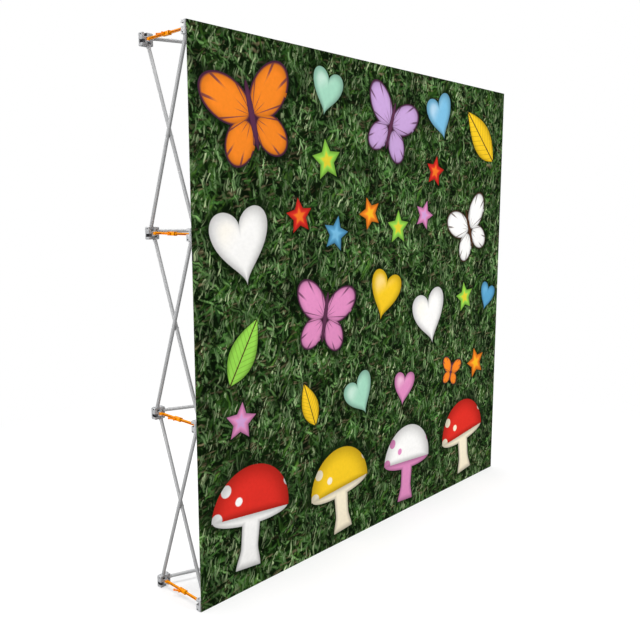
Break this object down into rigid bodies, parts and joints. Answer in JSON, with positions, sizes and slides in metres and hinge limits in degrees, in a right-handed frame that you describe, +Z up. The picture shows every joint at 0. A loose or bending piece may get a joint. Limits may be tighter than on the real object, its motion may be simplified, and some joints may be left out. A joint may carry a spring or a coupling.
{
  "type": "pop up display backwall",
  "caption": "Square folding scissor-frame display wall with a flat printed fabric on its front, orange locking struts at both ends and hubs that stand on the floor.",
  "frame": {"origin": "on the floor, under the middle of the frame's width and depth", "axes": "+X to the right seen from the printed front, +Y to the rear, +Z up"},
  "size_m": [2.255, 0.2974, 2.255],
  "materials": {
    "hub": "satin light grey moulded plastic",
    "tube": "satin anodised round tube",
    "lock": "bright orange moulded plastic",
    "fabric": "taut matt fabric printed with a meadow pattern"
  },
  "bodies": {
    "front_hub_c1_r1": {"front_hub_c1_r1": "hub"},
    "front_hub_c1_r2": {"front_hub_c1_r2": "hub"},
    "front_hub_c1_r3": {"front_hub_c1_r3": "hub"},
    "front_hub_c1_r4": {"front_hub_c1_r4": "hub"},
    "front_hub_c2_r1": {"front_hub_c2_r1": "hub", "inner_hubs": "hub", "inner_row_tubes": "tube", "inner_column_tubes": "tube"},
    "front_hub_c2_r4": {"front_hub_c2_r4": "hub"},
    "front_hub_c3_r1": {"front_hub_c3_r1": "hub"},
    "front_hub_c3_r4": {"front_hub_c3_r4": "hub"},
    "front_hub_c4_r1": {"front_hub_c4_r1": "hub"},
    "front_hub_c4_r2": {"front_hub_c4_r2": "hub"},
    "front_hub_c4_r3": {"front_hub_c4_r3": "hub"},
    "front_hub_c4_r4": {"front_hub_c4_r4": "hub"},
    "rear_hub_c1_r1": {"rear_hub_c1_r1": "hub"},
    "rear_hub_c1_r2": {"rear_hub_c1_r2": "hub"},
    "rear_hub_c1_r3": {"rear_hub_c1_r3": "hub"},
    "rear_hub_c1_r4": {"rear_hub_c1_r4": "hub"},
    "rear_hub_c2_r1": {"rear_hub_c2_r1": "hub"},
    "rear_hub_c2_r4": {"rear_hub_c2_r4": "hub"},
    "rear_hub_c3_r1": {"rear_hub_c3_r1": "hub"},
    "rear_hub_c3_r4": {"rear_hub_c3_r4": "hub"},
    "rear_hub_c4_r1": {"rear_hub_c4_r1": "hub"},
    "rear_hub_c4_r2": {"rear_hub_c4_r2": "hub"},
    "rear_hub_c4_r3": {"rear_hub_c4_r3": "hub"},
    "rear_hub_c4_r4": {"rear_hub_c4_r4": "hub"},
    "row_1_bay_1_tube_a": {"row_1_bay_1_tube_a": "tube"},
    "row_1_bay_1_tube_b": {"row_1_bay_1_tube_b": "tube"},
    "row_1_bay_2_tube_a": {"row_1_bay_2_tube_a": "tube"},
    "row_1_bay_2_tube_b": {"row_1_bay_2_tube_b": "tube"},
    "row_1_bay_3_tube_a": {"row_1_bay_3_tube_a": "tube"},
    "row_1_bay_3_tube_b": {"row_1_bay_3_tube_b": "tube"},
    "row_4_bay_1_tube_a": {"row_4_bay_1_tube_a": "tube"},
    "row_4_bay_1_tube_b": {"row_4_bay_1_tube_b": "tube"},
    "row_4_bay_2_tube_a": {"row_4_bay_2_tube_a": "tube"},
    "row_4_bay_2_tube_b": {"row_4_bay_2_tube_b": "tube"},
    "row_4_bay_3_tube_a": {"row_4_bay_3_tube_a": "tube"},
    "row_4_bay_3_tube_b": {"row_4_bay_3_tube_b": "tube"},
    "column_1_bay_1_tube_a": {"column_1_bay_1_tube_a": "tube"},
    "column_1_bay_1_tube_b": {"column_1_bay_1_tube_b": "tube"},
    "column_1_bay_2_tube_a": {"column_1_bay_2_tube_a": "tube"},
    "column_1_bay_2_tube_b": {"column_1_bay_2_tube_b": "tube"},
    "column_1_bay_3_tube_a": {"column_1_bay_3_tube_a": "tube"},
    "column_1_bay_3_tube_b": {"column_1_bay_3_tube_b": "tube"},
    "column_4_bay_1_tube_a": {"column_4_bay_1_tube_a": "tube"},
    "column_4_bay_1_tube_b": {"column_4_bay_1_tube_b": "tube"},
    "column_4_bay_2_tube_a": {"column_4_bay_2_tube_a": "tube"},
    "column_4_bay_2_tube_b": {"column_4_bay_2_tube_b": "tube"},
    "column_4_bay_3_tube_a": {"column_4_bay_3_tube_a": "tube"},
    "column_4_bay_3_tube_b": {"column_4_bay_3_tube_b": "tube"},
    "release_lever_c1_r1": {"release_lever_c1_r1": "lock"},
    "release_lever_c1_r2": {"release_lever_c1_r2": "lock"},
    "release_lever_c1_r3": {"release_lever_c1_r3": "lock"},
    "release_lever_c1_r4": {"release_lever_c1_r4": "lock"},
    "release_lever_c4_r1": {"release_lever_c4_r1": "lock"},
    "release_lever_c4_r2": {"release_lever_c4_r2": "lock"},
    "release_lever_c4_r3": {"release_lever_c4_r3": "lock"},
    "release_lever_c4_r4": {"release_lever_c4_r4": "lock"},
    "printed_fabric": {"printed_fabric": "fabric"}
  },
  "joints": [
    {"name": "fold", "type": "hinge", "parent": "front_hub_c2_r1", "child": "row_1_bay_2_tube_a", "pos_m": [-0.3495, -0.13035, 0.01725], "axis": [0, 0, 1], "range_deg": [0, 67], "deforming": ["inner_hubs", "inner_row_tubes", "inner_column_tubes"]},
    {"name": "row_1_bay_1_tube_b_swing", "type": "hinge", "parent": "front_hub_c2_r1", "child": "row_1_bay_1_tube_b", "pos_m": [-0.3855, -0.13035, 0.03275], "axis": [0, 0, 1], "range_deg": [-67, 0]},
    {"name": "rear_hub_c3_r1_turn", "type": "hinge", "parent": "row_1_bay_2_tube_a", "child": "rear_hub_c3_r1", "pos_m": [0.3495, 0.13365, 0.01725], "axis": [0, 0, 1], "range_deg": [-67, 0]},
    {"name": "row_1_bay_2_tube_b_cross", "type": "hinge", "parent": "row_1_bay_2_tube_a", "child": "row_1_bay_2_tube_b", "pos_m": [0, 0.00165, 0.025], "axis": [0, 0, 1], "range_deg": [-134, 0]},
    {"name": "rear_hub_c1_r1_turn", "type": "hinge", "parent": "row_1_bay_1_tube_b", "child": "rear_hub_c1_r1", "pos_m": [-1.0845, 0.13365, 0.03275], "axis": [0, 0, 1], "range_deg": [0, 67]},
    {"name": "row_1_bay_3_tube_b_swing", "type": "hinge", "parent": "rear_hub_c3_r1", "child": "row_1_bay_3_tube_b", "pos_m": [0.3855, 0.13365, 0.03275], "axis": [0, 0, 1], "range_deg": [-67, 0]},
    {"name": "rear_hub_c2_r1_turn", "type": "hinge", "parent": "row_1_bay_2_tube_b", "child": "rear_hub_c2_r1", "pos_m": [-0.3495, 0.13365, 0.03275], "axis": [0, 0, 1], "range_deg": [0, 67]},
    {"name": "front_hub_c3_r1_turn", "type": "hinge", "parent": "row_1_bay_2_tube_b", "child": "front_hub_c3_r1", "pos_m": [0.3495, -0.13035, 0.03275], "axis": [0, 0, 1], "range_deg": [0, 67]},
    {"name": "column_1_bay_1_tube_b_swing", "type": "hinge", "parent": "rear_hub_c1_r1", "child": "column_1_bay_1_tube_b", "pos_m": [-1.11025, 0.13365, 0.043], "axis": [1, 0, 0], "range_deg": [0, 67]},
    {"name": "front_hub_c4_r1_turn", "type": "hinge", "parent": "row_1_bay_3_tube_b", "child": "front_hub_c4_r1", "pos_m": [1.0845, -0.13035, 0.03275], "axis": [0, 0, 1], "range_deg": [0, 67]},
    {"name": "row_1_bay_1_tube_a_swing", "type": "hinge", "parent": "rear_hub_c2_r1", "child": "row_1_bay_1_tube_a", "pos_m": [-0.3855, 0.13365, 0.01725], "axis": [0, 0, 1], "range_deg": [0, 67]},
    {"name": "row_1_bay_3_tube_a_swing", "type": "hinge", "parent": "front_hub_c3_r1", "child": "row_1_bay_3_tube_a", "pos_m": [0.3855, -0.13035, 0.01725], "axis": [0, 0, 1], "range_deg": [0, 67]},
    {"name": "front_hub_c1_r2_turn", "type": "hinge", "parent": "column_1_bay_1_tube_b", "child": "front_hub_c1_r2", "pos_m": [-1.11025, -0.13035, 0.742], "axis": [1, 0, 0], "range_deg": [-67, 0]},
    {"name": "column_4_bay_1_tube_a_swing", "type": "hinge", "parent": "front_hub_c4_r1", "child": "column_4_bay_1_tube_a", "pos_m": [1.11025, -0.13035, 0.043], "axis": [1, 0, 0], "range_deg": [-67, 0]},
    {"name": "front_hub_c1_r1_turn", "type": "hinge", "parent": "row_1_bay_1_tube_a", "child": "front_hub_c1_r1", "pos_m": [-1.0845, -0.13035, 0.01725], "axis": [0, 0, 1], "range_deg": [-67, 0]},
    {"name": "rear_hub_c4_r1_turn", "type": "hinge", "parent": "row_1_bay_3_tube_a", "child": "rear_hub_c4_r1", "pos_m": [1.0845, 0.13365, 0.01725], "axis": [0, 0, 1], "range_deg": [-67, 0]},
    {"name": "column_1_bay_2_tube_a_swing", "type": "hinge", "parent": "front_hub_c1_r2", "child": "column_1_bay_2_tube_a", "pos_m": [-1.09475, -0.13035, 0.778], "axis": [1, 0, 0], "range_deg": [-67, 0]},
    {"name": "rear_hub_c4_r2_turn", "type": "hinge", "parent": "column_4_bay_1_tube_a", "child": "rear_hub_c4_r2", "pos_m": [1.11025, 0.13365, 0.742], "axis": [1, 0, 0], "range_deg": [0, 67]},
    {"name": "column_1_bay_1_tube_a_swing", "type": "hinge", "parent": "front_hub_c1_r1", "child": "column_1_bay_1_tube_a", "pos_m": [-1.09475, -0.13035, 0.043], "axis": [1, 0, 0], "range_deg": [-67, 0]},
    {"name": "column_4_bay_1_tube_b_swing", "type": "hinge", "parent": "rear_hub_c4_r1", "child": "column_4_bay_1_tube_b", "pos_m": [1.09475, 0.13365, 0.043], "axis": [1, 0, 0], "range_deg": [0, 67]},
    {"name": "rear_hub_c1_r3_turn", "type": "hinge", "parent": "column_1_bay_2_tube_a", "child": "rear_hub_c1_r3", "pos_m": [-1.09475, 0.13365, 1.477], "axis": [1, 0, 0], "range_deg": [0, 67]},
    {"name": "column_4_bay_2_tube_b_swing", "type": "hinge", "parent": "rear_hub_c4_r2", "child": "column_4_bay_2_tube_b", "pos_m": [1.09475, 0.13365, 0.778], "axis": [1, 0, 0], "range_deg": [0, 67]},
    {"name": "rear_hub_c1_r2_turn", "type": "hinge", "parent": "column_1_bay_1_tube_a", "child": "rear_hub_c1_r2", "pos_m": [-1.09475, 0.13365, 0.742], "axis": [1, 0, 0], "range_deg": [0, 67]},
    {"name": "front_hub_c4_r2_turn", "type": "hinge", "parent": "column_4_bay_1_tube_b", "child": "front_hub_c4_r2", "pos_m": [1.09475, -0.13035, 0.742], "axis": [1, 0, 0], "range_deg": [-67, 0]},
    {"name": "column_1_bay_3_tube_b_swing", "type": "hinge", "parent": "rear_hub_c1_r3", "child": "column_1_bay_3_tube_b", "pos_m": [-1.11025, 0.13365, 1.513], "axis": [1, 0, 0], "range_deg": [0, 67]},
    {"name": "front_hub_c4_r3_turn", "type": "hinge", "parent": "column_4_bay_2_tube_b", "child": "front_hub_c4_r3", "pos_m": [1.09475, -0.13035, 1.477], "axis": [1, 0, 0], "range_deg": [-67, 0]},
    {"name": "column_1_bay_2_tube_b_swing", "type": "hinge", "parent": "rear_hub_c1_r2", "child": "column_1_bay_2_tube_b", "pos_m": [-1.11025, 0.13365, 0.778], "axis": [1, 0, 0], "range_deg": [0, 67]},
    {"name": "column_4_bay_2_tube_a_swing", "type": "hinge", "parent": "front_hub_c4_r2", "child": "column_4_bay_2_tube_a", "pos_m": [1.11025, -0.13035, 0.778], "axis": [1, 0, 0], "range_deg": [-67, 0]},
    {"name": "front_hub_c1_r4_turn", "type": "hinge", "parent": "column_1_bay_3_tube_b", "child": "front_hub_c1_r4", "pos_m": [-1.11025, -0.13035, 2.212], "axis": [1, 0, 0], "range_deg": [-67, 0]},
    {"name": "column_4_bay_3_tube_a_swing", "type": "hinge", "parent": "front_hub_c4_r3", "child": "column_4_bay_3_tube_a", "pos_m": [1.11025, -0.13035, 1.513], "axis": [1, 0, 0], "range_deg": [-67, 0]},
    {"name": "front_hub_c1_r3_turn", "type": "hinge", "parent": "column_1_bay_2_tube_b", "child": "front_hub_c1_r3", "pos_m": [-1.11025, -0.13035, 1.477], "axis": [1, 0, 0], "range_deg": [-67, 0]},
    {"name": "rear_hub_c4_r3_turn", "type": "hinge", "parent": "column_4_bay_2_tube_a", "child": "rear_hub_c4_r3", "pos_m": [1.11025, 0.13365, 1.477], "axis": [1, 0, 0], "range_deg": [0, 67]},
    {"name": "row_4_bay_1_tube_a_swing", "type": "hinge", "parent": "front_hub_c1_r4", "child": "row_4_bay_1_tube_a", "pos_m": [-1.0845, -0.13035, 2.22225], "axis": [0, 0, 1], "range_deg": [0, 67]},
    {"name": "rear_hub_c4_r4_turn", "type": "hinge", "parent": "column_4_bay_3_tube_a", "child": "rear_hub_c4_r4", "pos_m": [1.11025, 0.13365, 2.212], "axis": [1, 0, 0], "range_deg": [0, 67]},
    {"name": "column_1_bay_3_tube_a_swing", "type": "hinge", "parent": "front_hub_c1_r3", "child": "column_1_bay_3_tube_a", "pos_m": [-1.09475, -0.13035, 1.513], "axis": [1, 0, 0], "range_deg": [-67, 0]},
    {"name": "column_4_bay_3_tube_b_swing", "type": "hinge", "parent": "rear_hub_c4_r3", "child": "column_4_bay_3_tube_b", "pos_m": [1.09475, 0.13365, 1.513], "axis": [1, 0, 0], "range_deg": [0, 67]},
    {"name": "rear_hub_c2_r4_turn", "type": "hinge", "parent": "row_4_bay_1_tube_a", "child": "rear_hub_c2_r4", "pos_m": [-0.3855, 0.13365, 2.22225], "axis": [0, 0, 1], "range_deg": [-67, 0]},
    {"name": "row_4_bay_3_tube_a_swing", "type": "hinge", "parent": "rear_hub_c4_r4", "child": "row_4_bay_3_tube_a", "pos_m": [1.0845, 0.13365, 2.22225], "axis": [0, 0, 1], "range_deg": [0, 67]},
    {"name": "rear_hub_c1_r4_turn", "type": "hinge", "parent": "column_1_bay_3_tube_a", "child": "rear_hub_c1_r4", "pos_m": [-1.09475, 0.13365, 2.212], "axis": [1, 0, 0], "range_deg": [0, 67]},
    {"name": "front_hub_c4_r4_turn", "type": "hinge", "parent": "column_4_bay_3_tube_b", "child": "front_hub_c4_r4", "pos_m": [1.09475, -0.13035, 2.212], "axis": [1, 0, 0], "range_deg": [-67, 0]},
    {"name": "row_4_bay_2_tube_b_swing", "type": "hinge", "parent": "rear_hub_c2_r4", "child": "row_4_bay_2_tube_b", "pos_m": [-0.3495, 0.13365, 2.23775], "axis": [0, 0, 1], "range_deg": [-67, 0]},
    {"name": "front_hub_c3_r4_turn", "type": "hinge", "parent": "row_4_bay_3_tube_a", "child": "front_hub_c3_r4", "pos_m": [0.3855, -0.13035, 2.22225], "axis": [0, 0, 1], "range_deg": [-67, 0]},
    {"name": "row_4_bay_1_tube_b_swing", "type": "hinge", "parent": "rear_hub_c1_r4", "child": "row_4_bay_1_tube_b", "pos_m": [-1.0845, 0.13365, 2.23775], "axis": [0, 0, 1], "range_deg": [-67, 0]},
    {"name": "row_4_bay_3_tube_b_swing", "type": "hinge", "parent": "front_hub_c4_r4", "child": "row_4_bay_3_tube_b", "pos_m": [1.0845, -0.13035, 2.23775], "axis": [0, 0, 1], "range_deg": [-67, 0]},
    {"name": "front_hub_c2_r4_turn", "type": "hinge", "parent": "row_4_bay_1_tube_b", "child": "front_hub_c2_r4", "pos_m": [-0.3855, -0.13035, 2.23775], "axis": [0, 0, 1], "range_deg": [0, 67]},
    {"name": "rear_hub_c3_r4_turn", "type": "hinge", "parent": "row_4_bay_3_tube_b", "child": "rear_hub_c3_r4", "pos_m": [0.3855, 0.13365, 2.23775], "axis": [0, 0, 1], "range_deg": [0, 67]},
    {"name": "row_4_bay_2_tube_a_swing", "type": "hinge", "parent": "front_hub_c2_r4", "child": "row_4_bay_2_tube_a", "pos_m": [-0.3495, -0.13035, 2.22225], "axis": [0, 0, 1], "range_deg": [0, 67]},
    {"name": "press_c1_r1", "type": "hinge", "parent": "rear_hub_c1_r1", "child": "release_lever_c1_r1", "pos_m": [-1.11315, 0.01365, 0.0262], "axis": [0, 0, -1], "range_deg": [0, 25], "stiffness_Nm_per_rad": 0.05, "springref_deg": -17.19},
    {"name": "press_c1_r2", "type": "hinge", "parent": "rear_hub_c1_r2", "child": "release_lever_c1_r2", "pos_m": [-1.11315, 0.01365, 0.7612], "axis": [0, 0, -1], "range_deg": [0, 25], "stiffness_Nm_per_rad": 0.05, "springref_deg": -17.19},
    {"name": "press_c1_r3", "type": "hinge", "parent": "rear_hub_c1_r3", "child": "release_lever_c1_r3", "pos_m": [-1.11315, 0.01365, 1.4962], "axis": [0, 0, -1], "range_deg": [0, 25], "stiffness_Nm_per_rad": 0.05, "springref_deg": -17.19},
    {"name": "press_c1_r4", "type": "hinge", "parent": "rear_hub_c1_r4", "child": "release_lever_c1_r4", "pos_m": [-1.11315, 0.01365, 2.2312], "axis": [0, 0, -1], "range_deg": [0, 25], "stiffness_Nm_per_rad": 0.05, "springref_deg": -17.19},
    {"name": "press_c4_r1", "type": "hinge", "parent": "rear_hub_c4_r1", "child": "release_lever_c4_r1", "pos_m": [1.11315, 0.01365, 0.0262], "axis": [0, 0, 1], "range_deg": [0, 25], "stiffness_Nm_per_rad": 0.05, "springref_deg": -17.19},
    {"name": "press_c4_r2", "type": "hinge", "parent": "rear_hub_c4_r2", "child": "release_lever_c4_r2", "pos_m": [1.11315, 0.01365, 0.7612], "axis": [0, 0, 1], "range_deg": [0, 25], "stiffness_Nm_per_rad": 0.05, "springref_deg": -17.19},
    {"name": "press_c4_r3", "type": "hinge", "parent": "rear_hub_c4_r3", "child": "release_lever_c4_r3", "pos_m": [1.11315, 0.01365, 1.4962], "axis": [0, 0, 1], "range_deg": [0, 25], "stiffness_Nm_per_rad": 0.05, "springref_deg": -17.19},
    {"name": "press_c4_r4", "type": "hinge", "parent": "rear_hub_c4_r4", "child": "release_lever_c4_r4", "pos_m": [1.11315, 0.01365, 2.2312], "axis": [0, 0, 1], "range_deg": [0, 25], "stiffness_Nm_per_rad": 0.05, "springref_deg": -17.19},
    {"name": "fabric_pull_off", "type": "slide", "parent": "front_hub_c2_r1", "child": "printed_fabric", "axis": [0, -1, 0], "range_m": [0, 0.06]}
  ],
  "couplings": [
    {"joint": "row_1_bay_1_tube_b_swing", "follows": "fold", "ratio": -1},
    {"joint": "rear_hub_c3_r1_turn", "follows": "fold", "ratio": -1},
    {"joint": "row_1_bay_2_tube_b_cross", "follows": "fold", "ratio": -2},
    {"joint": "rear_hub_c1_r1_turn", "follows": "fold", "ratio": 1},
    {"joint": "row_1_bay_3_tube_b_swing", "follows": "fold", "ratio": -1},
    {"joint": "rear_hub_c2_r1_turn", "follows": "fold", "ratio": 1},
    {"joint": "front_hub_c3_r1_turn", "follows": "fold", "ratio": 1},
    {"joint": "column_1_bay_1_tube_b_swing", "follows": "fold", "ratio": 1},
    {"joint": "front_hub_c4_r1_turn", "follows": "fold", "ratio": 1},
    {"joint": "row_1_bay_1_tube_a_swing", "follows": "fold", "ratio": 1},
    {"joint": "row_1_bay_3_tube_a_swing", "follows": "fold", "ratio": 1},
    {"joint": "front_hub_c1_r2_turn", "follows": "fold", "ratio": -1},
    {"joint": "column_4_bay_1_tube_a_swing", "follows": "fold", "ratio": -1},
    {"joint": "front_hub_c1_r1_turn", "follows": "fold", "ratio": -1},
    {"joint": "rear_hub_c4_r1_turn", "follows": "fold", "ratio": -1},
    {"joint": "column_1_bay_2_tube_a_swing", "follows": "fold", "ratio": -1},
    {"joint": "rear_hub_c4_r2_turn", "follows": "fold", "ratio": 1},
    {"joint": "column_1_bay_1_tube_a_swing", "follows": "fold", "ratio": -1},
    {"joint": "column_4_bay_1_tube_b_swing", "follows": "fold", "ratio": 1},
    {"joint": "rear_hub_c1_r3_turn", "follows": "fold", "ratio": 1},
    {"joint": "column_4_bay_2_tube_b_swing", "follows": "fold", "ratio": 1},
    {"joint": "rear_hub_c1_r2_turn", "follows": "fold", "ratio": 1},
    {"joint": "front_hub_c4_r2_turn", "follows": "fold", "ratio": -1},
    {"joint": "column_1_bay_3_tube_b_swing", "follows": "fold", "ratio": 1},
    {"joint": "front_hub_c4_r3_turn", "follows": "fold", "ratio": -1},
    {"joint": "column_1_bay_2_tube_b_swing", "follows": "fold", "ratio": 1},
    {"joint": "column_4_bay_2_tube_a_swing", "follows": "fold", "ratio": -1},
    {"joint": "front_hub_c1_r4_turn", "follows": "fold", "ratio": -1},
    {"joint": "column_4_bay_3_tube_a_swing", "follows": "fold", "ratio": -1},
    {"joint": "front_hub_c1_r3_turn", "follows": "fold", "ratio": -1},
    {"joint": "rear_hub_c4_r3_turn", "follows": "fold", "ratio": 1},
    {"joint": "row_4_bay_1_tube_a_swing", "follows": "fold", "ratio": 1},
    {"joint": "rear_hub_c4_r4_turn", "follows": "fold", "ratio": 1},
    {"joint": "column_1_bay_3_tube_a_swing", "follows": "fold", "ratio": -1},
    {"joint": "column_4_bay_3_tube_b_swing", "follows": "fold", "ratio": 1},
    {"joint": "rear_hub_c2_r4_turn", "follows": "fold", "ratio": -1},
    {"joint": "row_4_bay_3_tube_a_swing", "follows": "fold", "ratio": 1},
    {"joint": "rear_hub_c1_r4_turn", "follows": "fold", "ratio": 1},
    {"joint": "front_hub_c4_r4_turn", "follows": "fold", "ratio": -1},
    {"joint": "row_4_bay_2_tube_b_swing", "follows": "fold", "ratio": -1},
    {"joint": "front_hub_c3_r4_turn", "follows": "fold", "ratio": -1},
    {"joint": "row_4_bay_1_tube_b_swing", "follows": "fold", "ratio": -1},
    {"joint": "row_4_bay_3_tube_b_swing", "follows": "fold", "ratio": -1},
    {"joint": "front_hub_c2_r4_turn", "follows": "fold", "ratio": 1},
    {"joint": "rear_hub_c3_r4_turn", "follows": "fold", "ratio": 1},
    {"joint": "row_4_bay_2_tube_a_swing", "follows": "fold", "ratio": 1}
  ]
}
